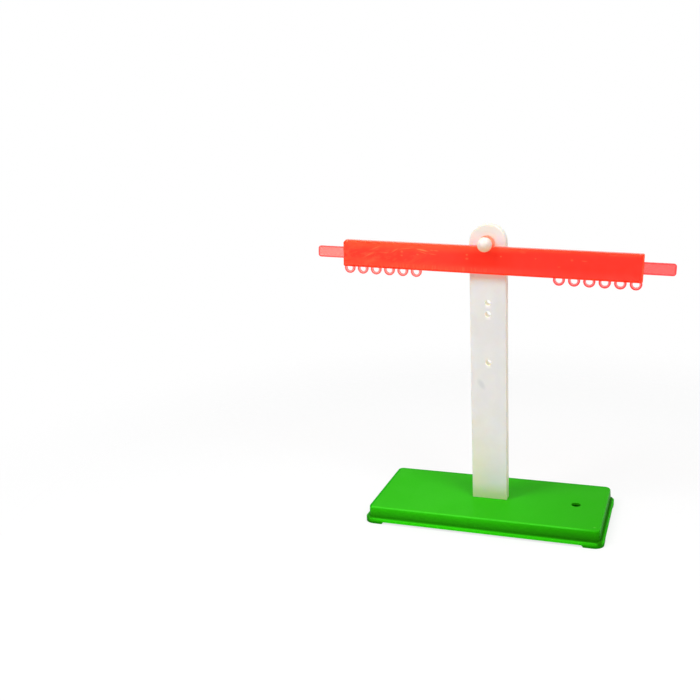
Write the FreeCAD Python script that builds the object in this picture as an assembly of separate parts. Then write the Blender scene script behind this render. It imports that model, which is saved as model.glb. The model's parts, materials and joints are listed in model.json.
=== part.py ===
"""Lever ruler and stand: a classroom balance for the law of the lever.

A green tray-shaped base carries an upright white post in a well. A round-headed pin is
pushed into the post's top hole, and a red lever ruler swings on the pin. Rings under the
ruler, one pitch apart and counted from the pivot, take the hooks of weights.

Millimetres. X runs along the base to the right, Y from the front to the back, Z up. The
origin is on the ground under the middle of the base. The ruler hangs in front of the post.
"""

import FreeCAD, Part
import math
import os

V = FreeCAD.Vector

# ---------------------------------------------------------------- driving sizes: base
BASE_TOP_LENGTH = 198.5    # flat top, along X
BASE_TOP_WIDTH = 93.0      # flat top, along Y
BASE_DEPTH = 12.85         # from the rim's underside up to the top
BASE_WALL = 2.0            # top plate and side walls
BASE_CORNER_RADIUS = 5.0   # upright corners, at the top
BASE_EDGE_RADIUS = 1.8     # round-over between top and walls
WALL_DRAFT = 3.0           # degrees that the walls lean out, going down
LIP_REACH = 2.85           # lip beyond the foot of the wall
LIP_DEPTH = 3.05           # from the rim's underside to the lip's upper face
LIP_PLATE = 1.8            # thickness of the lip's flat part
LIP_SKIRT = 1.6            # thickness of its turned-down rim
LIP_BEVEL = 0.9            # along the lip's outer edge
FOOT_HEIGHT = 1.85         # the rim stands on its corners by this much
FOOT_LENGTH = 16.0         # each corner foot, along both sides
FOOT_RUN_OUT = 1.6         # slope at the end of a foot
TOP_HOLE_RADIUS = 4.0      # round hole in the top plate
TOP_HOLE_INSET = 24.8      # its centre from the right end of the flat top
WELL_WALL = 2.0            # wall of the well that holds the post
WELL_FLOOR = 2.0           # its floor
RIB = 1.6                  # ribs under the top plate
RIB_RISE = 2.15            # lower edge of the ribs above the rim's underside

# ---------------------------------------------------------------- driving sizes: post
POST_WIDTH = 30.5
POST_THICKNESS = 9.0
POST_SKIN = 2.2            # front wall of the cored moulding
POST_WALL = 2.2            # its side walls
POST_BEVEL = 0.5           # along its front outline
POST_FOOT_BEVEL = 0.6      # lead-in at the lower end
PIVOT_ABOVE_BASE = 227.5   # pivot axis above the base's top
PEG_HOLE_RADIUS = 2.6      # four holes alike, the top one holds the pin
PEG_HOLE_DROPS = (50.7, 60.6, 102.9)   # free holes, below the pivot axis
PEG_TUBE_WALL = 2.4        # tube moulded round each hole
POST_RIB = 1.6             # cross ribs behind the front wall
POST_RIB_PITCH = 25.0

# ---------------------------------------------------------------- driving sizes: lever ruler
RING_PITCH = 12.0
RING_FIRST = 5             # first ring, in pitches from the pivot
RING_COUNT = 6             # rings on each arm
RING_RADIUS = 4.8          # outside
RING_HOLE_RADIUS = 2.6
RING_DROP = 1.6            # ring centre below the body's lower edge
BODY_END_MARGIN = 0.2      # body beyond the last ring
BODY_HEIGHT = 23.1
BODY_THICKNESS = 4.3
BODY_TOP_DROP = 2.4        # top edge below the pivot axis
BODY_EDGE_RADIUS = 0.7     # front outline edge
BODY_CORNER = 0.8          # bevel at three corners
KEY_CORNER = 2.2           # bevel at the fourth corner, top left
PLATE_THICKNESS = 1.8      # thin parts flush with the back: lug, rings, tongues
PLATE_BEVEL = 0.4          # along their front edges
LUG_RADIUS = 6.4
LUG_BOSS_RADIUS = 4.8      # raised face behind the lug, runs against the post
LUG_BOSS_HEIGHT = 0.4
TONGUE_LENGTH = 24.3       # beyond the body, each end
TONGUE_HEIGHT = 9.8
TONGUE_CORNER_RADIUS = 2.4
REST_TILT = 2.3            # degrees, right arm low, as the ruler comes to rest

# ---------------------------------------------------------------- driving sizes: pivot pin
BALL_RADIUS = 6.15
JOURNAL_STEP = 0.4         # journal's radius beyond the post's hole
BARB_CATCH = 0.3           # barb's radius beyond the post's hole
BARB_LENGTH = 3.2
BARB_LAND = 0.6            # straight part of the barb
BARB_TIP_RADIUS = 1.9
SLOT_WIDTH = 1.2           # splits the tail into two springy legs
SLOT_START = 3.3           # slot's root behind the journal's shoulder

# ---------------------------------------------------------------- clearances
RUNNING_CLEARANCE = 0.06   # ruler's bore round the journal
PEG_CLEARANCE = 0.04       # pin's stem in the post
WELL_CLEARANCE = 0.1       # post in the well, each side
SIDE_PLAY = 0.3            # ruler's boss to the post, and ball to the ruler
SNAP_PLAY = 0.1            # barb behind the post

# ---------------------------------------------------------------- derived places
LIP_Z = FOOT_HEIGHT + LIP_DEPTH
BASE_TOP_Z = FOOT_HEIGHT + BASE_DEPTH
CEILING_Z = BASE_TOP_Z - BASE_WALL
WALL_LEAN = math.tan(math.radians(WALL_DRAFT))
WALL_FOOT = (BASE_TOP_Z - LIP_Z) * WALL_LEAN
POST_FOOT_Z = FOOT_HEIGHT + WELL_FLOOR
PIVOT_Z = BASE_TOP_Z + PIVOT_ABOVE_BASE
POST_FRONT_Y = -POST_THICKNESS / 2
POST_BACK_Y = POST_THICKNESS / 2
BODY_HALF = (RING_FIRST + RING_COUNT - 1) * RING_PITCH + RING_RADIUS + BODY_END_MARGIN
BODY_BOTTOM = -BODY_TOP_DROP - BODY_HEIGHT
LEVER_BACK_Y = POST_FRONT_Y - SIDE_PLAY - LUG_BOSS_HEIGHT
LEVER_FRONT_Y = LEVER_BACK_Y - BODY_THICKNESS
PLATE_FRONT_Y = LEVER_BACK_Y - PLATE_THICKNESS
JOURNAL_RADIUS = PEG_HOLE_RADIUS + JOURNAL_STEP
STEM_RADIUS = PEG_HOLE_RADIUS - PEG_CLEARANCE
BARB_RADIUS = PEG_HOLE_RADIUS + BARB_CATCH
BALL_NECK = math.sqrt(BALL_RADIUS**2 - JOURNAL_RADIUS**2)
BALL_Y = LEVER_FRONT_Y - SIDE_PLAY - BALL_NECK
OVERSHOOT = 1.0            # cutting tools run past the faces they cut


# ---------------------------------------------------------------- shape helpers
def prism(outline, direction):
    """Solid swept from a closed flat wire along a vector."""
    return Part.Face(outline).extrude(direction)


def cylinder_y(radius, y0, y1, z=0.0):
    """Cylinder along Y between two depths, at a height on the middle plane."""
    return Part.makeCylinder(radius, y1 - y0, V(0, y0, z), V(0, 1, 0))


def block(x0, x1, y0, y1, z0, z1):
    """Box between two corners."""
    return Part.makeBox(x1 - x0, y1 - y0, z1 - z0, V(x0, y0, z0))


def rounded_slab(half_x, half_y, radius, z0, z1):
    """Upright prism whose plan is a rectangle with round corners."""
    slab = block(-half_x, half_x, -half_y, half_y, z0, z1)
    return slab.makeFillet(radius, edges_along(slab, V(0, 0, 1)))


def drafted_slab(half_x, half_y, radius, z0, z1):
    """The same with walls that lean out by the draft, sized at its upper face."""
    lean = (z1 - z0) * WALL_LEAN
    low_x = half_x + lean
    low_y = half_y + lean
    slab = Part.makeWedge(-low_x, z0, -low_y, -half_y, -half_x, low_x, z1, low_y, half_y, half_x)
    slab.rotate(V(0, 0, 0), V(1, 0, 0), 90)
    return slab.makeFillet(radius, edges_along(slab, V(0, 0, 1)))


def edges_along(shape, direction):
    """Straight edges that run along a direction, give or take a moulding's draft."""
    draft = math.cos(math.radians(2 * WALL_DRAFT + 1))
    return [e for e in shape.Edges if abs(e.tangentAt(e.FirstParameter).dot(direction)) > draft]


def edges_in_plane(shape, axis, value):
    """Edges that lie wholly in the plane where the given axis has the given value."""
    box_low = {"x": "XMin", "y": "YMin", "z": "ZMin"}[axis]
    box_high = {"x": "XMax", "y": "YMax", "z": "ZMax"}[axis]
    near = 1e-4
    return [
        e for e in shape.Edges
        if abs(getattr(e.BoundBox, box_low) - value) < near
        and abs(getattr(e.BoundBox, box_high) - value) < near
    ]


def bevelled_outline(x0, x1, z0, z1, cuts, y):
    """Rectangle in a plane of constant Y with its corners cut at 45 degrees.

    cuts gives the cut at the lower left, lower right, upper right and upper left corner.
    """
    low_left, low_right, top_right, top_left = cuts
    points = [
        V(x0 + low_left, y, z0), V(x1 - low_right, y, z0),
        V(x1, y, z0 + low_right), V(x1, y, z1 - top_right),
        V(x1 - top_right, y, z1), V(x0 + top_left, y, z1),
        V(x0, y, z1 - top_left), V(x0, y, z0 + low_left),
    ]
    return Part.makePolygon(points + points[:1])


def arch_outline(half_width, foot_z, centre_z, y):
    """Upright strip with a half-round top, in a plane of constant Y."""
    foot_left = V(-half_width, y, foot_z)
    foot_right = V(half_width, y, foot_z)
    left = V(-half_width, y, centre_z)
    crown = V(0, y, centre_z + half_width)
    right = V(half_width, y, centre_z)
    return Part.Wire([
        Part.LineSegment(foot_left, foot_right).toShape(),
        Part.LineSegment(foot_right, right).toShape(),
        Part.Arc(right, crown, left).toShape(),
        Part.LineSegment(left, foot_left).toShape(),
    ])


# ---------------------------------------------------------------- base
def base_shell():
    """Tray with drafted walls, turned-down lip, corner feet, post well and ribs."""
    top_x = BASE_TOP_LENGTH / 2
    top_y = BASE_TOP_WIDTH / 2
    lip_x = top_x + WALL_FOOT + LIP_REACH
    lip_y = top_y + WALL_FOOT + LIP_REACH
    lip_radius = BASE_CORNER_RADIUS + WALL_FOOT + LIP_REACH

    tray = drafted_slab(top_x, top_y, BASE_CORNER_RADIUS, LIP_Z, BASE_TOP_Z)
    tray = tray.makeFillet(BASE_EDGE_RADIUS, edges_in_plane(tray, "z", BASE_TOP_Z))
    lip = rounded_slab(lip_x, lip_y, lip_radius, 0, LIP_Z)
    lip = lip.makeChamfer(LIP_BEVEL, edges_in_plane(lip, "z", LIP_Z))
    shell = tray.fuse(lip).removeSplitter()

    hollow = drafted_slab(top_x - BASE_WALL, top_y - BASE_WALL, BASE_CORNER_RADIUS - BASE_WALL,
                          -OVERSHOOT, CEILING_Z)
    skirt_hollow = rounded_slab(lip_x - LIP_SKIRT, lip_y - LIP_SKIRT, lip_radius - LIP_SKIRT,
                                -OVERSHOOT, LIP_Z - LIP_PLATE)
    shell = shell.cut(hollow.fuse(skirt_hollow))
    for gap in between_feet(lip_x, lip_y):
        shell = shell.cut(gap)

    shell = shell.fuse(underside(top_x, top_y)).removeSplitter()
    slot_x = POST_WIDTH / 2 + WELL_CLEARANCE
    slot_y = POST_THICKNESS / 2 + WELL_CLEARANCE
    slot = block(-slot_x, slot_x, -slot_y, slot_y, POST_FOOT_Z, BASE_TOP_Z + OVERSHOOT)
    top_hole = Part.makeCylinder(TOP_HOLE_RADIUS, BASE_DEPTH,
                                 V(top_x - TOP_HOLE_INSET, 0, BASE_TOP_Z + OVERSHOOT),
                                 V(0, 0, -1))
    return shell.cut(slot).cut(top_hole)


def between_feet(lip_x, lip_y):
    """Prisms that lift the rim off the ground between the corner feet."""
    def gap(half, reach):
        low = half - FOOT_LENGTH
        high = low - FOOT_RUN_OUT
        points = [V(-low, -reach, -OVERSHOOT), V(low, -reach, -OVERSHOOT), V(low, -reach, 0),
                  V(high, -reach, FOOT_HEIGHT), V(-high, -reach, FOOT_HEIGHT), V(-low, -reach, 0)]
        return prism(Part.makePolygon(points + points[:1]), V(0, 2 * reach, 0))

    along_x = gap(lip_x, lip_y + OVERSHOOT)
    along_y = gap(lip_y, lip_x + OVERSHOOT)
    along_y.rotate(V(0, 0, 0), V(0, 0, 1), 90)
    return [along_x, along_y]


def underside(top_x, top_y):
    """Well for the post, and the ribs that run on from its walls to the tray's walls."""
    into_plate = CEILING_Z + BASE_WALL / 2
    well_x = POST_WIDTH / 2 + WELL_CLEARANCE + WELL_WALL
    well_y = POST_THICKNESS / 2 + WELL_CLEARANCE + WELL_WALL
    pieces = rounded_slab(well_x, well_y, WELL_WALL, FOOT_HEIGHT, into_plate)
    reach_x = top_x - BASE_WALL / 2
    reach_y = top_y - BASE_WALL / 2
    rib_z = FOOT_HEIGHT + RIB_RISE
    for side in (-1, 1):
        y = side * (well_y - WELL_WALL / 2)
        x = side * (well_x - WELL_WALL / 2)
        long_rib = block(-reach_x, reach_x, y - RIB / 2, y + RIB / 2, rib_z, into_plate)
        cross_rib = block(x - RIB / 2, x + RIB / 2, -reach_y, reach_y, rib_z, into_plate)
        pieces = pieces.fuse([long_rib, cross_rib])
    return pieces


# ---------------------------------------------------------------- post
def post():
    """Upright with a half-round top, cored from behind, with a tube round each hole."""
    slab = prism(arch_outline(POST_WIDTH / 2, POST_FOOT_Z, PIVOT_Z, POST_FRONT_Y),
                 V(0, POST_THICKNESS, 0))
    slab = slab.makeChamfer(POST_FOOT_BEVEL, edges_in_plane(slab, "z", POST_FOOT_Z))
    slab = slab.makeChamfer(POST_BEVEL, [
        e for e in edges_in_plane(slab, "y", POST_FRONT_Y)
        if e.BoundBox.ZMax > POST_FOOT_Z + POST_FOOT_BEVEL + OVERSHOOT
    ])

    core = prism(arch_outline(POST_WIDTH / 2 - POST_WALL, POST_FOOT_Z + POST_WALL, PIVOT_Z,
                              POST_FRONT_Y + POST_SKIN),
                 V(0, POST_THICKNESS, 0))
    for z in rib_heights():
        core = core.cut(block(-POST_WIDTH, POST_WIDTH, POST_FRONT_Y, POST_THICKNESS,
                              z - POST_RIB / 2, z + POST_RIB / 2))
    for z in hole_heights():
        core = core.cut(cylinder_y(PEG_HOLE_RADIUS + PEG_TUBE_WALL, POST_FRONT_Y,
                                   POST_THICKNESS, z))
    slab = slab.cut(core)
    for z in hole_heights():
        slab = slab.cut(cylinder_y(PEG_HOLE_RADIUS, POST_FRONT_Y - OVERSHOOT,
                                   POST_BACK_Y + OVERSHOOT, z))
    return slab


def hole_heights():
    """Pivot hole and the free holes below it."""
    return [PIVOT_Z] + [PIVOT_Z - drop for drop in PEG_HOLE_DROPS]


def rib_heights():
    """Cross ribs, counted down from the pivot as far as the foot allows."""
    lowest = POST_FOOT_Z + POST_WALL + POST_RIB_PITCH / 2
    count = int((PIVOT_Z - lowest) / POST_RIB_PITCH) + 1
    return [PIVOT_Z - n * POST_RIB_PITCH for n in range(count)]


# ---------------------------------------------------------------- lever ruler
def lever_ruler():
    """Thick bar with a thin lug, two tongues and two rows of rings flush with its back."""
    cuts = (BODY_CORNER, BODY_CORNER, BODY_CORNER, KEY_CORNER)
    bar = prism(bevelled_outline(-BODY_HALF, BODY_HALF, BODY_BOTTOM, -BODY_TOP_DROP, cuts,
                                 LEVER_FRONT_Y),
                V(0, BODY_THICKNESS, 0))
    bar = bar.makeFillet(BODY_EDGE_RADIUS, edges_in_plane(bar, "y", LEVER_FRONT_Y))

    thin = [lug(), tongue(-1), tongue(1)]
    for x in ring_places():
        hole = cylinder_y(RING_HOLE_RADIUS, PLATE_FRONT_Y - OVERSHOOT, LEVER_BACK_Y + OVERSHOOT)
        ring = bevelled_disc(RING_RADIUS).cut(hole)
        ring.translate(V(x, 0, BODY_BOTTOM - RING_DROP))
        thin.append(ring)
    ruler = bar.fuse(thin).removeSplitter()
    bore = cylinder_y(JOURNAL_RADIUS + RUNNING_CLEARANCE, LEVER_FRONT_Y - OVERSHOOT, POST_FRONT_Y)
    ruler = ruler.cut(bore)
    ruler.rotate(V(0, 0, 0), V(0, 1, 0), REST_TILT)
    ruler.translate(V(0, 0, PIVOT_Z))
    return ruler


def ring_places():
    """Ring centres along the ruler, counted in pitches from the pivot on both arms."""
    steps = range(RING_FIRST, RING_FIRST + RING_COUNT)
    return [side * n * RING_PITCH for side in (-1, 1) for n in steps]


def bevelled_disc(radius):
    """Disc as thick as the thin parts, about the Y axis, its front edge bevelled."""
    disc = cylinder_y(radius, PLATE_FRONT_Y, LEVER_BACK_Y)
    return disc.makeChamfer(PLATE_BEVEL, edges_in_plane(disc, "y", PLATE_FRONT_Y))


def lug():
    """Round lug over the body's top edge, with a raised face at its back."""
    boss = cylinder_y(LUG_BOSS_RADIUS, LEVER_BACK_Y, LEVER_BACK_Y + LUG_BOSS_HEIGHT)
    return bevelled_disc(LUG_RADIUS).fuse(boss)


def tongue(side):
    """Flat tongue at one end, half way up the body, with a rounded tip."""
    middle = BODY_BOTTOM + BODY_HEIGHT / 2
    tip = BODY_HALF + TONGUE_LENGTH
    strip = block(BODY_HALF - BODY_THICKNESS, tip, PLATE_FRONT_Y, LEVER_BACK_Y,
                  middle - TONGUE_HEIGHT / 2, middle + TONGUE_HEIGHT / 2)
    across = edges_along(strip, V(0, 1, 0))
    corners = [e for e in across if e.BoundBox.XMin > BODY_HALF]
    strip = strip.makeFillet(TONGUE_CORNER_RADIUS, corners)
    strip = strip.makeChamfer(PLATE_BEVEL, edges_in_plane(strip, "y", PLATE_FRONT_Y))
    if side < 0:
        strip = strip.mirror(V(0, 0, 0), V(1, 0, 0))
    return strip


# ---------------------------------------------------------------- pivot pin
def pivot_pin():
    """Ball head, journal with a shoulder against the post, stem, and a split barbed tail."""
    barb_y = POST_BACK_Y + SNAP_PLAY
    tip_y = barb_y + BARB_LENGTH
    crown = V(0, BALL_Y - BALL_RADIUS, 0)
    flank = V(BALL_RADIUS, BALL_Y, 0)
    neck = V(JOURNAL_RADIUS, BALL_Y + BALL_NECK, 0)
    steps = [
        neck,
        V(JOURNAL_RADIUS, POST_FRONT_Y, 0), V(STEM_RADIUS, POST_FRONT_Y, 0),
        V(STEM_RADIUS, barb_y, 0), V(BARB_RADIUS, barb_y, 0),
        V(BARB_RADIUS, barb_y + BARB_LAND, 0), V(BARB_TIP_RADIUS, tip_y, 0),
        V(0, tip_y, 0), crown,
    ]
    profile = Part.Wire([Part.Arc(crown, flank, neck).toShape()] + Part.makePolygon(steps).Edges)
    pin = Part.Face(profile).revolve(V(0, 0, 0), V(0, 1, 0), 360)
    slot = block(-SLOT_WIDTH / 2, SLOT_WIDTH / 2, POST_FRONT_Y + SLOT_START, tip_y + OVERSHOOT,
                 -BALL_RADIUS, BALL_RADIUS)
    pin = pin.cut(slot)
    pin.translate(V(0, 0, PIVOT_Z))
    return pin


# ---------------------------------------------------------------- write the pieces
PIECES = {
    "base_shell": base_shell,
    "post": post,
    "lever_ruler": lever_ruler,
    "pivot_pin": pivot_pin,
}

os.makedirs("parts", exist_ok=True)
for name, make in PIECES.items():
    shape = make()
    solid = shape.Solids[0] if len(shape.Solids) == 1 else shape
    print(name, "solids", len(shape.Solids), "valid", shape.isValid(),
          "volume", round(shape.Volume, 1), "mm3")
    solid.exportStep("parts/" + name + ".step")
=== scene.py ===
"""Looks of the lever ruler and stand: camera, studio, and the four moulded plastics."""

import json
import math

import bpy
from mathutils import Matrix, Vector


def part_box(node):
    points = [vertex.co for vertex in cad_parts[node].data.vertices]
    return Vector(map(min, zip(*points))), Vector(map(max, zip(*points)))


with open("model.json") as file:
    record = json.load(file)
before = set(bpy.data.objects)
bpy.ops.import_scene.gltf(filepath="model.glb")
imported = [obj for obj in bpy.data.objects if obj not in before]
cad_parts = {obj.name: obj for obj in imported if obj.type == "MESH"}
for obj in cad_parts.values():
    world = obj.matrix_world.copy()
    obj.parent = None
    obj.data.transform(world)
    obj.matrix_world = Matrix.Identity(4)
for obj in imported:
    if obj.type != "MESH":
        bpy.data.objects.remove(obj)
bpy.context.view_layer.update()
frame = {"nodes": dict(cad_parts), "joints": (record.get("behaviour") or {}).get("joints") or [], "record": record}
scene = bpy.context.scene
scene.view_settings.view_transform = "Standard"

MM = 0.001      # materials place things in millimetres, the camera, floor and lamps in metres


def lowest(node):
    """A CAD node's lowest corner, in millimetres."""
    return [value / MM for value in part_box(node)[0]]


def highest(node):
    """A CAD node's highest corner, in millimetres."""
    return [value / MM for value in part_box(node)[1]]


# ---------------------------------------------------------------- places that the frame gives
BASE_END, BASE_SIDE, BASE_TOP = highest("base_shell")
POST_SIDE, _, POST_TOP = highest("post")
POST_FRONT = lowest("post")[1]
BAR_FRONT = lowest("lever_ruler")[1]
PIVOT = (0.0, 0.0, frame["joints"][0]["pos_m"][2] / MM)
PIVOT_HEIGHT = PIVOT[2]
PEG_HOLES = [mount for mount in frame["record"]["mounts"]
             if mount["name"].startswith("post_peg_hole")]

# ---------------------------------------------------------------- sizes inside the nodes
LIP_REACH = 2.85           # the base's lip, beyond the foot of its wall
LIP_TOP = 4.9              # the lip's upper face
WALL_END = BASE_END - LIP_REACH
WALL_SIDE = BASE_SIDE - LIP_REACH
FOOT_LENGTH = 16.0         # each corner foot, along the lip
FOOT_START = BASE_END - FOOT_LENGTH
TILT = math.radians(2.3)   # the ruler at rest, right arm low
RING_PITCH = 12.0          # the rings lie at whole pitches from the pivot
LAST_RING = 10             # the outermost one, in pitches
RING_RADIUS = 4.8
RING_HOLE = 2.6            # radius inside
RING_DROP = 1.6            # ring centre below the bar's lower edge
BAR_END = LAST_RING * RING_PITCH + RING_RADIUS + 0.2
BAR_HEIGHT = 23.1
BAR_TOP = -2.4             # the bar's upper edge, from the pivot
BAR_FOOT = BAR_TOP - BAR_HEIGHT
BAR_MIDDLE = (BAR_TOP + BAR_FOOT) / 2
RING_HEIGHT = BAR_FOOT - RING_DROP
TONGUE_TIP = BAR_END + 24.3
TONGUE_HALF = 4.9          # half the tongue's height
LUG_SIDE = 9.5             # half the width that holds the lug
SEAM = 0.1                 # half the width over which one part's colour turns into the next's

# ---------------------------------------------------------------- finish
GREEN_GLOSS = 0.01         # specular levels
RED_GLOSS = 0.12
IVORY_GLOSS = 0.3
SCATTER = 0.8              # share of the light that spreads inside a plastic
RED_REACH = (7.0, 0.6, 0.4)      # how far it spreads, in red, green and blue
IVORY_REACH = (3.0, 2.2, 1.4)    # the same for the post and the pin
RED_GLOW = 0.12            # painted glow: partly the red's fluorescence, partly standing in for light that the translucent red carries into its shade
RED_SHADOW = 0.8           # share of the ruler's shadow that lets yellow light through
RED_DEPTH = 250.0          # how fast the red swallows other colours, for each metre
BORE_GLOW = 0.06           # painted glow in the free holes, standing in for light that the post passes on into them
PIN_GLOW = 0.14            # painted red glow on the underside of the pin, standing in for light from the bar
FLOW_TURN = -0.35          # slope and stretch of the streaks that the melt left in the bar
FLOW_STRETCH = 3.6
MARK_DEPTH = 2.0           # how deep a mark on a front face reaches
# Pale streaks in the bar: the two pixels of the photograph where each is seen to start and end,
# read off, then its half length and half height in mm, and its strength.
STREAKS = {
    "brightest": ((417.0, 249.0), (427.0, 251.2), 7.0, 0.9, 0.85),
    "under the brightest": ((419.0, 251.2), (426.5, 253.8), 5.5, 0.7, 0.35),
    "right of the brightest": ((430.0, 250.0), (433.0, 250.6), 2.4, 0.8, 0.35),
    "further right": ((434.0, 250.5), (438.0, 251.0), 3.0, 0.8, 0.4),
    "lower right": ((429.0, 253.8), (436.0, 254.8), 5.0, 0.8, 0.3),
    "short and low": ((416.5, 254.3), (418.5, 254.7), 1.8, 1.0, 0.35),
    "arch, right side": ((400.0, 249.0), (413.0, 248.0), 9.0, 0.8, 0.3),
    "arch, left side": ((391.0, 252.5), (398.0, 248.5), 6.0, 0.8, 0.35),
    "level": ((378.0, 252.0), (390.0, 253.0), 8.0, 1.0, 0.2),
    "rising, upper": ((370.0, 250.0), (380.0, 246.0), 8.0, 0.8, 0.3),
    "rising, lower": ((364.0, 257.0), (373.0, 252.5), 7.5, 0.8, 0.3),
    "broad band": ((348.0, 258.5), (384.0, 260.5), 23.0, 3.6, 0.1),
    "right arm, upper": ((520.0, 251.8), (525.6, 252.7), 4.0, 1.6, 0.15),
    "right arm, lower": ((581.7, 261.0), (587.2, 261.7), 3.4, 0.8, 0.25),
}
# Pale specks in the bar: the pixel of the photograph, read off, then the same three values.
SPECKS = {
    "left pair, upper": ((401.7, 251.5), 1.6, 1.3, 0.4),
    "left pair, lower": ((401.7, 255.5), 1.5, 1.1, 0.4),
    "middle pair, upper": ((466.8, 254.8), 1.5, 1.2, 0.4),
    "middle pair, lower": ((466.8, 258.8), 2.0, 1.3, 0.35),
    "right of the pin": ((500.9, 256.6), 1.2, 1.0, 0.4),
    "right arm, first": ((535.6, 258.8), 1.2, 1.0, 0.25),
    "right arm, low": ((558.9, 267.1), 1.8, 1.0, 0.15),
    "right arm, last": ((572.0, 260.4), 1.6, 1.4, 0.25),
}

# ---------------------------------------------------------------- camera and studio
EYE = Vector((0.16723, -0.76680, 0.36182))
YAW, PITCH, ROLL = 0.366725, 0.259991, -0.048779
FOCAL_PIXELS, PHOTO_PIXELS, SENSOR = 942.24, 700.0, 36.0
WORLD_FILL = 0.31          # strength of the world's light, where white would be 1
PAPER = 0.88               # the floor's grey
PAPER_GLOW = 0.75          # share of the floor that shows as plain white
FLOOR_HALF = 1.0           # half the floor's side
FLOOR_FADE = (300.0, 620.0)      # millimetres from the middle, where the floor fades out
SOFTBOX_AWAY = 1.05        # from the point that they aim at
SOFTBOX_AIM = Vector((0.0, 0.0, 0.12))
# name, degrees round the object from the front, degrees above it, side, power
SOFTBOXES = (("left", -46.0, 50.0, 0.4, 5.8), ("right", 50.0, 50.0, 0.4, 4.65),
             ("front", 0.0, 72.0, 1.0, 2.4), ("back", 180.0, 52.0, 0.8, 1.9))


# ---------------------------------------------------------------- camera
def camera_axes():
    """The camera's directions to the picture's right, to its top, and forward."""
    level = math.cos(PITCH)
    forward = Vector((-math.sin(YAW) * level, math.cos(YAW) * level, -math.sin(PITCH)))
    right = Vector((math.cos(YAW), math.sin(YAW), 0.0))
    up = right.cross(forward)
    side = math.cos(ROLL) * right + math.sin(ROLL) * up
    top = -math.sin(ROLL) * right + math.cos(ROLL) * up
    return side, top, forward


def camera():
    """The photograph's viewpoint: a pinhole with the picture's centre on its axis."""
    side, top, forward = camera_axes()
    turn = Matrix((side, top, -forward)).transposed()
    data = bpy.data.cameras.new("camera")
    data.sensor_fit = "HORIZONTAL"
    data.sensor_width = SENSOR
    data.lens = FOCAL_PIXELS * SENSOR / PHOTO_PIXELS
    data.clip_start = 0.01
    data.clip_end = 50.0
    eye = bpy.data.objects.new("camera", data)
    eye.matrix_world = Matrix.Translation(EYE) @ turn.to_4x4()
    scene.collection.objects.link(eye)
    scene.camera = eye


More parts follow.
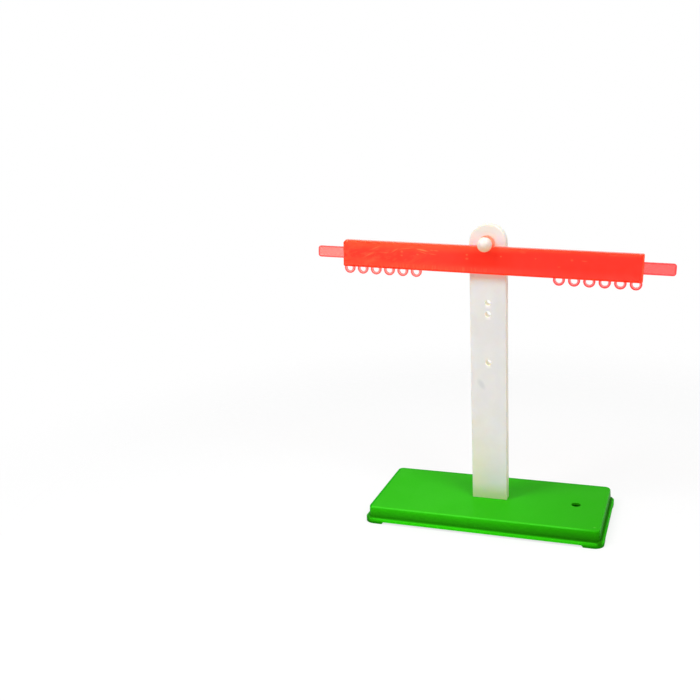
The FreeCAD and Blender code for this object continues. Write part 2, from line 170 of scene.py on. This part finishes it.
# ---------------------------------------------------------------- node helpers
class Tree:
    """A material's or world's node tree, with short calls for adding and joining nodes."""

    def __init__(self, owner):
        owner.use_nodes = True
        self.tree = owner.node_tree
        self.tree.nodes.clear()

    def node(self, kind, **settings):
        """A new node with these settings."""
        made = self.tree.nodes.new(kind)
        for name, value in settings.items():
            setattr(made, name, value)
        return made

    def join(self, source, target):
        """A link from an output to an input."""
        self.tree.links.new(source, target)

    def put(self, value, target):
        """A constant or another node's output into an input."""
        if isinstance(value, bpy.types.NodeSocket):
            self.join(value, target)
        else:
            target.default_value = value

    def math(self, operation, a, b=0.0, clamp=False):
        """Arithmetic on one or two numbers."""
        made = self.node("ShaderNodeMath", operation=operation, use_clamp=clamp)
        self.put(a, made.inputs[0])
        self.put(b, made.inputs[1])
        return made.outputs[0]

    def mix(self, share, low, high):
        """Colour between two colours."""
        made = self.node("ShaderNodeMix", data_type="RGBA")
        self.put(share, made.inputs["Factor"])
        self.put(low, made.inputs["A"])
        self.put(high, made.inputs["B"])
        return made.outputs["Result"]

    def mix_value(self, share, low, high):
        """Number between two numbers."""
        made = self.node("ShaderNodeMix", data_type="FLOAT")
        self.put(share, made.inputs["Factor"])
        self.put(low, made.inputs["A"])
        self.put(high, made.inputs["B"])
        return made.outputs["Result"]

    def mix_shader(self, share, low, high):
        """Shader between two shaders."""
        made = self.node("ShaderNodeMixShader")
        self.join(share, made.inputs["Fac"])
        self.join(low, made.inputs[1])
        self.join(high, made.inputs[2])
        return made.outputs[0]

    def noise(self, where, scale, detail, rough=0.5, twist=0.0):
        """Cloudy noise; the scale is in waves for each unit of the place."""
        made = self.node("ShaderNodeTexNoise")
        self.join(where, made.inputs["Vector"])
        made.inputs["Scale"].default_value = scale
        made.inputs["Detail"].default_value = detail
        made.inputs["Roughness"].default_value = rough
        made.inputs["Distortion"].default_value = twist
        return made.outputs["Fac"]

    def steps(self, value, low, high, out_low=0.0, out_high=1.0):
        """A value moved from one range to another, smooth at both ends."""
        made = self.node("ShaderNodeMapRange", interpolation_type="SMOOTHSTEP")
        self.join(value, made.inputs["Value"])
        made.inputs["From Min"].default_value = low
        made.inputs["From Max"].default_value = high
        made.inputs["To Min"].default_value = out_low
        made.inputs["To Max"].default_value = out_high
        return made.outputs["Result"]

    def meet(self, *shares):
        """1 where every one of several shares is 1: their product."""
        total = shares[0]
        for share in shares[1:]:
            total = self.math("MULTIPLY", total, share)
        return total

    def place(self, origin=(0, 0, 0), turn=(0, 0, 0), size=(1, 1, 1)):
        """The part's own coordinates, seen from a point of it, turned, and divided by a size."""
        made = self.node("ShaderNodeMapping", vector_type="TEXTURE")
        self.join(self.node("ShaderNodeTexCoord").outputs["Object"], made.inputs["Vector"])
        made.inputs["Location"].default_value = [value * MM for value in origin]
        made.inputs["Rotation"].default_value = turn
        made.inputs["Scale"].default_value = [value * MM for value in size]
        return made.outputs["Vector"]

    def axes(self, where):
        """The three coordinates of a vector."""
        made = self.node("ShaderNodeSeparateXYZ")
        self.join(where, made.inputs[0])
        return made.outputs["X"], made.outputs["Y"], made.outputs["Z"]

    def length(self, where):
        """The length of a vector."""
        made = self.node("ShaderNodeVectorMath", operation="LENGTH")
        self.join(where, made.inputs[0])
        return made.outputs["Value"]

    def spot(self, origin, turn, size):
        """1 near a point of the part, fading to 0 at the edge of an ellipsoid round it."""
        return self.steps(self.length(self.place(origin, turn, size)), 1.0, 0.2)

    def radial(self, origin, radius):
        """Distance from an axis along Y, in radii."""
        endless = 1.0e6     # so long that the place along the axis doesn't count
        return self.length(self.place(origin, (0, 0, 0), (radius, endless, radius)))

    def bump(self, height, distance):
        """A normal for a relief of this depth."""
        made = self.node("ShaderNodeBump")
        self.join(height, made.inputs["Height"])
        made.inputs["Distance"].default_value = distance * MM
        made.inputs["Strength"].default_value = 1.0
        return made.outputs["Normal"]


def srgb(r, g, b):
    """Linear colour of an 8-bit one."""
    def line(v):
        v /= 255.0
        return v / 12.92 if v <= 0.04045 else ((v + 0.055) / 1.055) ** 2.4
    return (line(r), line(g), line(b), 1.0)


def plastic(name):
    """A material with a Principled shader on its output."""
    material = bpy.data.materials.new(name)
    t = Tree(material)
    shader = t.node("ShaderNodeBsdfPrincipled")
    output = t.node("ShaderNodeOutputMaterial")
    t.join(shader.outputs["BSDF"], output.inputs["Surface"])
    return material, t, shader, output


def scatter(shader, reach):
    """Light that spreads inside the plastic."""
    shader.inputs["Subsurface Weight"].default_value = SCATTER
    shader.inputs["Subsurface Scale"].default_value = MM
    shader.inputs["Subsurface Radius"].default_value = reach


def dress(node, material):
    """Gives a CAD node its material."""
    mesh = frame["nodes"][node].data
    mesh.materials.clear()
    mesh.materials.append(material)


# ---------------------------------------------------------------- green of the base
def base_wall(t, right, groove_shade, along, across, up):
    """The flat top, and a wall in a green of its own with painted shade deepening towards its foot; a painted
    highlight on the near round-overs, painted shade on the far ones.
    """
    top = t.mix(right, srgb(51, 182, 22), srgb(46, 165, 17))
    # the wall's green is set apart from the top's, painted for how the light falls on each
    wall = t.mix(right, srgb(46, 193, 12), srgb(38, 165, 5))
    # painted shade: the wall darkens towards its foot
    wall_shade = t.math("POWER", t.steps(up, BASE_TOP - 0.5, LIP_TOP + 0.3), 0.7)
    colour = t.mix(t.steps(up, BASE_TOP - 0.15, BASE_TOP - 0.9), top, t.mix(wall_shade, wall, groove_shade))

    round_over = t.steps(up, BASE_TOP - 1.7, BASE_TOP - 0.7)
    front = t.meet(t.steps(across, 3.0 - WALL_SIDE, 1.5 - WALL_SIDE),
                   t.steps(along, WALL_END - 4.8, WALL_END - 21.8, 0.3, 1.0))
    right_end = t.steps(along, WALL_END - 3.8, WALL_END - 1.3, 0.0, 0.4)
    # painted highlight along the front and right round-overs of the top
    rim_highlight = t.meet(round_over, t.steps(up, BASE_TOP - 0.01, BASE_TOP - 0.4),
                      t.math("MAXIMUM", front, right_end))
    colour = t.mix(t.math("MULTIPLY", rim_highlight, 0.75), colour, srgb(72, 214, 46))
    rear = t.steps(across, WALL_SIDE - 4.0, WALL_SIDE - 2.5)
    left_end = t.steps(along, 4.0 - WALL_END, 2.6 - WALL_END)
    # painted shade along the rear and left round-overs of the top
    rim_shade = t.meet(round_over, t.math("MAXIMUM", rear, left_end))
    return t.mix(t.math("MULTIPLY", rim_shade, 0.9), colour, srgb(8, 158, 0))


def base_lip(t, right, groove_shade, along, across, up):
    """The lip: painted shade beside the wall, painted brighter outside, and painted shade at its corners, ends and
    feet.
    """
    past_end = t.math("SUBTRACT", t.math("ABSOLUTE", along), WALL_END)
    past_side = t.math("SUBTRACT", t.math("ABSOLUTE", across), WALL_SIDE)
    # the lip's outer face is painted brighter, standing in for the light its rounded edge catches
    skirt = t.mix(right, srgb(48, 210, 12), srgb(50, 199, 17))
    outside = t.steps(past_side, 1.5, 2.8)
    lip = t.mix(outside, groove_shade, skirt)
    # painted shade at the lip's corners, its ends, its lower edge and over the feet
    corner = t.steps(past_end, -17.8, -0.8, 0.0, 0.8)
    lip = t.mix(t.meet(corner, outside), lip, srgb(42, 172, 10))
    lip = t.mix(t.steps(past_end, 0.4, 2.4), lip, srgb(44, 184, 11))
    lip = t.mix(t.steps(up, 2.0, 0.4), lip, srgb(24, 140, 3))
    at_foot = t.steps(t.math("ABSOLUTE", along), FOOT_START - 6.6, FOOT_START + 1.4)
    return t.mix(t.meet(at_foot, t.steps(up, 3.4, 1.2)), lip, srgb(22, 124, 2))


def base_green():
    """Glossy green with a faint cloud and grain, and a nick near the front right corner."""
    material, t, shader, _ = plastic("base_green")
    where = t.place()
    along, across, up = t.axes(where)
    right = t.steps(along, -20.0, 110.0)        # painted shade: the green darkens towards the right end, standing in for light that falls off to the right
    cloud = t.noise(where, 0.026, 3.0)
    grain = t.noise(where, 0.9, 2.0, 0.6)
    # painted shade in the groove between the wall and the lip
    groove_shade = t.mix(right, srgb(35, 142, 9), srgb(30, 114, 6))
    colour = t.mix(t.steps(up, LIP_TOP + 2 * SEAM, LIP_TOP),
                   base_wall(t, right, groove_shade, along, across, up),
                   base_lip(t, right, groove_shade, along, across, up))
    colour = t.mix(t.steps(cloud, 0.35, 0.65, 0.0, 0.12), colour, srgb(26, 160, 2))
    colour = t.mix(t.steps(grain, 0.3, 0.75, 0.0, 0.15), colour, srgb(24, 150, 2))
    nick = t.spot((WALL_END - 5.3, 6.1 - WALL_SIDE, BASE_TOP), (0, 0, 0), (1.6, 1.3, 1.0))
    colour = t.mix(nick, colour, srgb(80, 182, 48))
    t.join(colour, shader.inputs["Base Color"])
    t.join(t.steps(cloud, 0.3, 0.7, 0.34, 0.44), shader.inputs["Roughness"])
    t.join(t.bump(grain, 0.04), shader.inputs["Normal"])
    shader.inputs["IOR"].default_value = 1.5
    shader.inputs["Specular IOR Level"].default_value = GREEN_GLOSS
    return material


# ---------------------------------------------------------------- ivory of the post
def post_body(t, cloud, blush, along, up):
    """Milky ivory, with painted shade on its sides, painted pink light from the bar on its arch, painted light and
    shade on the arch's round-over, and painted green bounce light and shade from the base low down.
    """
    colour = t.mix(t.steps(cloud, 0.35, 0.65), srgb(227, 225, 224), srgb(231, 229, 228))
    colour = t.mix(t.steps(blush, 0.45, 0.7, 0.0, 0.2), colour, srgb(228, 222, 212))
    # painted green light bounced from the base, on the lower left of the post
    green_bounce_tint = t.meet(t.steps(up, 110.0, 30.0), t.steps(along, 8.0, -15.0, 0.0, 0.8))
    colour = t.mix(green_bounce_tint, colour, srgb(235, 231, 208))
    # painted shade on the side faces, deeper on the left one
    flank = t.steps(t.math("ABSOLUTE", along), POST_SIDE - 0.55, POST_SIDE - 0.1)
    side = t.mix(t.steps(along, -1.0, 1.0), srgb(220, 210, 194), srgb(234, 223, 209))
    colour = t.mix(flank, colour, side)

    # painted pink light bounced from the bar, strongest on the arch just above it
    arch = t.steps(up, PIVOT_HEIGHT - 0.2, PIVOT_HEIGHT + 3.8)
    arch_bounce = t.mix(t.steps(up, POST_TOP - 12.45, POST_TOP - 4.45), srgb(242, 230, 225),
                  srgb(236, 230, 222))
    colour = t.mix(arch, colour, arch_bounce)
    # painted light and shade on the arch's round-over, darker on the left, lighter on the right
    round_over = t.meet(arch, t.steps(t.radial(PIVOT, POST_SIDE), 0.939, 0.969))
    round_over_light = t.mix(t.steps(along, 4.0, 11.0), srgb(228, 219, 206), srgb(242, 234, 225))
    colour = t.mix(round_over, colour, round_over_light)
    # painted green bounce light and shade where the post meets the base
    foot_bounce_shade = t.steps(up, BASE_TOP + 17.3, BASE_TOP - 0.7)
    return t.mix(foot_bounce_shade, colour, srgb(210, 220, 171))


def post_ivory():
    """The post's ivory, with a painted glint under each free hole, bores painted pale with a painted glow, and a
    scuff.
    """
    material, t, shader, _ = plastic("post_ivory")
    where = t.place()
    along, _, up = t.axes(where)
    cloud = t.noise(where, 0.04, 4.0, 0.55)
    blush = t.noise(where, 0.09, 2.0)
    grain = t.noise(where, 0.7, 2.0, 0.6)
    colour = post_body(t, cloud, blush, along, up)
    bores = 0.0
    for hole in PEG_HOLES:
        height = hole["pos_m"][2] / MM
        # painted highlight: a glint just under each free hole
        glint = t.spot((0.3, POST_FRONT, height - 3.7), (0, 0, 0), (3.3, MARK_DEPTH, 1.7))
        colour = t.mix(t.math("MULTIPLY", glint, 0.8), colour, srgb(243, 239, 234))
        # the bore is painted pale and glows, painted light in place of the shade inside the hole
        bore = t.steps(t.radial((0.0, 0.0, height), hole["dims"]["r_mm"]), 1.03, 1.0)
        colour = t.mix(bore, colour, srgb(255, 250, 234))
        bores = t.math("ADD", bore, bores)
    scuff = t.spot((-6.2, POST_FRONT, PIVOT_HEIGHT - 122.5), (0, math.radians(-32), 0),
                   (3.4, MARK_DEPTH, 7.4))
    colour = t.mix(t.math("MULTIPLY", scuff, 0.65), colour, srgb(204, 205, 208))
    t.join(colour, shader.inputs["Base Color"])
    t.join(t.steps(cloud, 0.3, 0.7, 0.34, 0.44), shader.inputs["Roughness"])
    t.join(t.bump(grain, 0.02), shader.inputs["Normal"])
    shader.inputs["IOR"].default_value = 1.5
    shader.inputs["Specular IOR Level"].default_value = IVORY_GLOSS
    scatter(shader, IVORY_REACH)
    shader.inputs["Emission Color"].default_value = srgb(255, 243, 218)
    t.join(t.math("MULTIPLY", bores, BORE_GLOW), shader.inputs["Emission Strength"])
    return material


# ---------------------------------------------------------------- red of the ruler
def on_bar(pixel):
    """The place on the bar's front face, in mm, that the photograph shows at a pixel."""
    side, top, forward = camera_axes()
    across, down = ((place - PHOTO_PIXELS / 2) / FOCAL_PIXELS for place in pixel)
    ray = forward + across * side - down * top
    reach = (BAR_FRONT * MM - EYE.y) / ray.y
    return (EYE + reach * ray) / MM


def bar_marks(t, body):
    """The streaks and specks that the photograph shows in the bar."""
    pale = srgb(255, 156, 96)
    for start, end, half_length, half_height, strength in STREAKS.values():
        first, last = on_bar(start), on_bar(end)
        turn = math.atan2(first.z - last.z, last.x - first.x)
        streak = t.spot((first + last) / 2, (0, turn, 0), (half_length, MARK_DEPTH, half_height))
        body = t.mix(t.math("MULTIPLY", streak, strength), body, pale)
    for pixel, half_length, half_height, strength in SPECKS.values():
        speck = t.spot(on_bar(pixel), (0, TILT, 0), (half_length, MARK_DEPTH, half_height))
        body = t.mix(t.math("MULTIPLY", speck, strength), body, pale)
    return body


def bar_flow(t, body, haze, right, along, out, up):
    """Flow veins in the left arm, a paler lower half, and fine upright bristle near its foot."""
    flow = t.noise(t.place(PIVOT, (0, TILT + FLOW_TURN, 0), (FLOW_STRETCH, 1, 1)), 0.27, 3.0,
                   0.65, 0.8)
    veins = t.meet(t.steps(flow, 0.5, 0.62), t.steps(along, -30.0, -80.0, 0.0, 0.48),
                   t.steps(up, BAR_TOP - 0.6, BAR_TOP - 6.6))
    body = t.mix(veins, body, srgb(255, 106, 68))
    body = t.mix(t.steps(haze, 0.35, 0.7, 0.0, 0.07), body, srgb(255, 82, 56))
    lower = t.mix(right, srgb(255, 87, 59), srgb(255, 71, 57))
    body = t.mix(t.steps(up, BAR_FOOT + 9.0, BAR_FOOT + 2.0), body, lower)
    bristle = t.noise(t.place(PIVOT, (0, TILT, 0), (1, 1, 9)), 0.76, 2.0)
    bristles = t.meet(t.steps(bristle, 0.48, 0.66, 0.0, 0.55),
                      t.steps(up, BAR_FOOT + 6.0, BAR_FOOT + 3.5),
                      t.steps(out, 88.0, 70.0), t.steps(right, 1.0, 0.3))
    return t.mix(bristles, body, srgb(255, 112, 76))


def bar_colour(t, haze, right, along, out, up):
    """The full red of the bar, with painted shade deeper round the pivot and along its foot, painted light paler
    at its top and ends, and marks.
    """
    body = t.mix(right, srgb(255, 66, 50), srgb(255, 58, 44))
    # painted shade: deeper red round the pivot, where the post behind the bar passes less light through it
    body = t.mix(t.steps(out, 34.0, 4.0, 0.0, 0.9), body, srgb(255, 52, 30))
    body = bar_flow(t, body, haze, right, along, out, up)
    # painted light along the top, where light enters through the top face
    sunk = t.math("DIVIDE", t.math("SUBTRACT", BAR_TOP - 0.6, up), t.mix_value(right, 9.0, 3.4))
    top_edge_light = t.mix(right, srgb(255, 100, 61), srgb(255, 86, 58))
    body = t.mix(t.steps(sunk, 1.0, 0.0, 0.0, 0.95), body, top_edge_light)
    # painted shade: a deeper orange-red line along the lower edge
    body = t.mix(t.steps(up, BAR_FOOT + 1.8, BAR_FOOT + 0.9), body, srgb(255, 60, 20))
    # painted light at the bar's ends
    body = t.mix(t.steps(out, BAR_END - 1.6, BAR_END - 0.1, 0.0, 0.9), body, srgb(255, 96, 58))
    return bar_marks(t, body)


def thin_colour(t, right, out, up, below, lug):
    """The glassy pink of tongues, rings and lug, with painted shade along outlines, painted light round the holes,
    and the lug painted paler.
    """
    thin = t.mix(right, (1.0, 0.445, 0.405, 1.0), (1.0, 0.215, 0.217, 1.0))
    outline_shade = t.mix(right, (1.0, 0.15, 0.135, 1.0), (1.0, 0.054, 0.065, 1.0))
    off_middle = t.math("ABSOLUTE", t.math("SUBTRACT", up, BAR_MIDDLE))
    tongue = t.math("MAXIMUM", t.steps(off_middle, TONGUE_HALF - 1.4, TONGUE_HALF - 0.7),
                    t.steps(out, TONGUE_TIP - 1.6, TONGUE_TIP - 0.7))
    aside = t.math("PINGPONG", out, RING_PITCH / 2)
    above = t.math("SUBTRACT", up, RING_HEIGHT)
    from_centre = t.math("SQRT", t.math("ADD", t.math("MULTIPLY", aside, aside),
                                        t.math("MULTIPLY", above, above)))
    hoop = t.steps(from_centre, RING_RADIUS - 1.2, RING_RADIUS - 0.5)
    past_bar = t.steps(out, BAR_END - SEAM, BAR_END + SEAM)
    outline = t.math("ADD", t.meet(tongue, past_bar), t.meet(hoop, below), clamp=True)
    # painted shade along the outlines of tongues and rings
    colour = t.mix(outline, thin, outline_shade)
    # painted light: paler round the ring holes
    inside = t.meet(t.steps(from_centre, RING_HOLE + 1.2, RING_HOLE + 0.4), below)
    pale = t.mix(right, (1.0, 0.52, 0.50, 1.0), (1.0, 0.44, 0.46, 1.0))
    colour = t.mix(inside, colour, pale)
    # the lug painted paler, standing in for light coming through it
    return t.mix(lug, colour, srgb(255, 190, 160))


def red_shadow(t, shader, output):
    """Lets part of the light through the ruler where it would cast a shadow."""
    path = t.node("ShaderNodeLightPath")
    filtered = t.node("ShaderNodeBsdfTransparent")
    filtered.inputs["Color"].default_value = (0.88, 0.8, 0.0, 1.0)
    share = t.math("MULTIPLY", path.outputs["Is Shadow Ray"], RED_SHADOW)
    surface = t.mix_shader(share, shader.outputs["BSDF"], filtered.outputs["BSDF"])
    t.join(surface, output.inputs["Surface"])


def red_depth(t, output):
    """Deepens the red where light goes a longer way through it."""
    soak = t.node("ShaderNodeVolumeAbsorption")
    soak.inputs["Color"].default_value = (1.0, 0.06, 0.0, 1.0)
    soak.inputs["Density"].default_value = RED_DEPTH
    t.join(soak.outputs["Volume"], output.inputs["Volume"])


def ruler_red():
    """Clear red: a full bar, and thin glassy pink parts."""
    material, t, shader, output = plastic("ruler_red")
    where = t.place(PIVOT, (0, TILT, 0))
    along, _, up = t.axes(where)
    out = t.math("ABSOLUTE", along)             # outwards on either arm
    right = t.steps(along, -60.0, 60.0)         # the red is deeper in the right arm
    below = t.steps(up, BAR_FOOT + SEAM, BAR_FOOT - SEAM)
    thick = t.meet(t.steps(out, BAR_END + SEAM / 2, BAR_END - SEAM / 2),
                   t.steps(up, BAR_TOP + SEAM, BAR_TOP - SEAM),
                   t.steps(up, BAR_FOOT - SEAM, BAR_FOOT + SEAM))
    lug = t.meet(t.steps(out, LUG_SIDE + 0.5, LUG_SIDE - 0.5),
                 t.steps(up, BAR_TOP - SEAM, BAR_TOP + SEAM))
    haze = t.noise(where, 0.05, 1.0)
    colour = t.mix(thick, thin_colour(t, right, out, up, below, lug),
                   bar_colour(t, haze, right, along, out, up))
    t.join(colour, shader.inputs["Base Color"])
    glassy = t.mix_value(lug, t.steps(thick, 0.0, 1.0, 0.88, 0.1), 0.5)
    t.join(glassy, shader.inputs["Transmission Weight"])
    sheen = t.math("MULTIPLY", t.steps(haze, 0.4, 0.7, 0.29, 0.35),
                   t.steps(thick, 0.0, 1.0, 0.4, 1.0))
    t.join(sheen, shader.inputs["Roughness"])
    relief = t.math("MULTIPLY", t.noise(where, 0.16, 2.0), thick)
    t.join(t.bump(relief, 0.05), shader.inputs["Normal"])
    shader.inputs["IOR"].default_value = 1.49
    shader.inputs["Specular IOR Level"].default_value = RED_GLOSS
    scatter(shader, RED_REACH)
    # painted glow of the red
    shader.inputs["Emission Color"].default_value = (1.0, 0.02, 0.0, 1.0)
    shader.inputs["Emission Strength"].default_value = RED_GLOW
    red_shadow(t, shader, output)
    red_depth(t, output)
    return material


# ---------------------------------------------------------------- white of the pin
def pin_white():
    """Glossy white, with painted warm light from the bar and a painted red glow on its underside."""
    material, t, shader, _ = plastic("pin_white")
    where = t.place()
    _, _, up = t.axes(where)
    cloud = t.noise(where, 0.22, 2.0)
    colour = t.mix(t.steps(cloud, 0.35, 0.65), srgb(230, 217, 206), srgb(235, 222, 212))
    # painted warm light bounced from the bar, towards the underside
    underside_bounce = t.steps(up, PIVOT_HEIGHT + 1.8, PIVOT_HEIGHT - 5.6)
    colour = t.mix(underside_bounce, colour, srgb(255, 220, 177))
    t.join(colour, shader.inputs["Base Color"])
    t.join(t.steps(cloud, 0.3, 0.7, 0.2, 0.26), shader.inputs["Roughness"])
    shader.inputs["IOR"].default_value = 1.5
    scatter(shader, IVORY_REACH)
    # painted red glow from the bar on the underside
    shader.inputs["Emission Color"].default_value = (1.0, 0.04, 0.02, 1.0)
    glow = t.steps(up, PIVOT_HEIGHT + 1.3, PIVOT_HEIGHT - 4.7, 0.0, PIN_GLOW)
    t.join(glow, shader.inputs["Emission Strength"])
    return material


# ---------------------------------------------------------------- studio
def backdrop_rays(t):
    """1 for rays that show the backdrop: the camera's, and those off gloss and through plastic."""
    path = t.node("ShaderNodeLightPath")
    seen = t.math("MAXIMUM", path.outputs["Is Camera Ray"], path.outputs["Is Transmission Ray"])
    return t.math("MAXIMUM", seen, path.outputs["Is Glossy Ray"])


def white_world():
    """A world that shows as white and gives a weaker light."""
    world = bpy.data.worlds.new("studio")
    scene.world = world
    t = Tree(world)
    back = t.node("ShaderNodeBackground")
    back.inputs["Color"].default_value = (1.0, 1.0, 1.0, 1.0)
    t.join(t.steps(backdrop_rays(t), 0.0, 1.0, WORLD_FILL, 1.0), back.inputs["Strength"])
    output = t.node("ShaderNodeOutputWorld")
    t.join(back.outputs["Background"], output.inputs["Surface"])


def floor_paper():
    """White paper that takes shadows, is plain under the base, and fades out far away."""
    paper = bpy.data.materials.new("floor_paper")
    t = Tree(paper)
    matt = t.node("ShaderNodeBsdfDiffuse")
    matt.inputs["Color"].default_value = (PAPER, PAPER, PAPER, 1.0)
    glow = t.node("ShaderNodeEmission")
    glow.inputs["Color"].default_value = (1.0, 1.0, 1.0, 1.0)
    where = t.place()
    along, across, _ = t.axes(where)
    under = t.meet(t.steps(t.math("ABSOLUTE", along), WALL_END - 3.8, WALL_END - 7.8),
                   t.steps(t.math("ABSOLUTE", across), WALL_SIDE - 3.0, WALL_SIDE - 7.0))
    lit = t.math("SUBTRACT", PAPER_GLOW, t.math("MULTIPLY", under, PAPER_GLOW))
    share = t.math("MULTIPLY", backdrop_rays(t), lit)
    near = t.mix_shader(share, matt.outputs["BSDF"], glow.outputs["Emission"])
    clear = t.node("ShaderNodeBsdfTransparent")
    surface = t.mix_shader(t.steps(t.length(where), *FLOOR_FADE), near, clear.outputs["BSDF"])
    output = t.node("ShaderNodeOutputMaterial")
    t.join(surface, output.inputs["Surface"])
    return paper


def floor():
    """A plain square floor at the height of the base's feet."""
    far = FLOOR_HALF
    mesh = bpy.data.meshes.new("floor")
    mesh.from_pydata([(-far, -far, 0.0), (far, -far, 0.0), (far, far, 0.0), (-far, far, 0.0)], [],
                     [(0, 1, 2, 3)])
    mesh.materials.append(floor_paper())
    ground = bpy.data.objects.new("floor", mesh)
    scene.collection.objects.link(ground)


def softbox(name, turn, rise, side, power):
    """A large soft lamp on a sphere round the object, aimed at its middle."""
    lamp = bpy.data.lights.new("softbox_" + name, "AREA")
    lamp.shape = "SQUARE"
    lamp.size = side
    lamp.energy = power
    around, above = math.radians(turn), math.radians(rise)
    away = Vector((math.sin(around) * math.cos(above), -math.cos(around) * math.cos(above),
                   math.sin(above))) * SOFTBOX_AWAY
    box = bpy.data.objects.new("softbox_" + name, lamp)
    box.location = SOFTBOX_AIM + away
    box.rotation_euler = (-away).to_track_quat("-Z", "Y").to_euler()
    scene.collection.objects.link(box)


# ---------------------------------------------------------------- the scene
camera()
dress("base_shell", base_green())
dress("post", post_ivory())
dress("lever_ruler", ruler_red())
dress("pivot_pin", pin_white())
white_world()
floor()
for box in SOFTBOXES:
    softbox(*box)
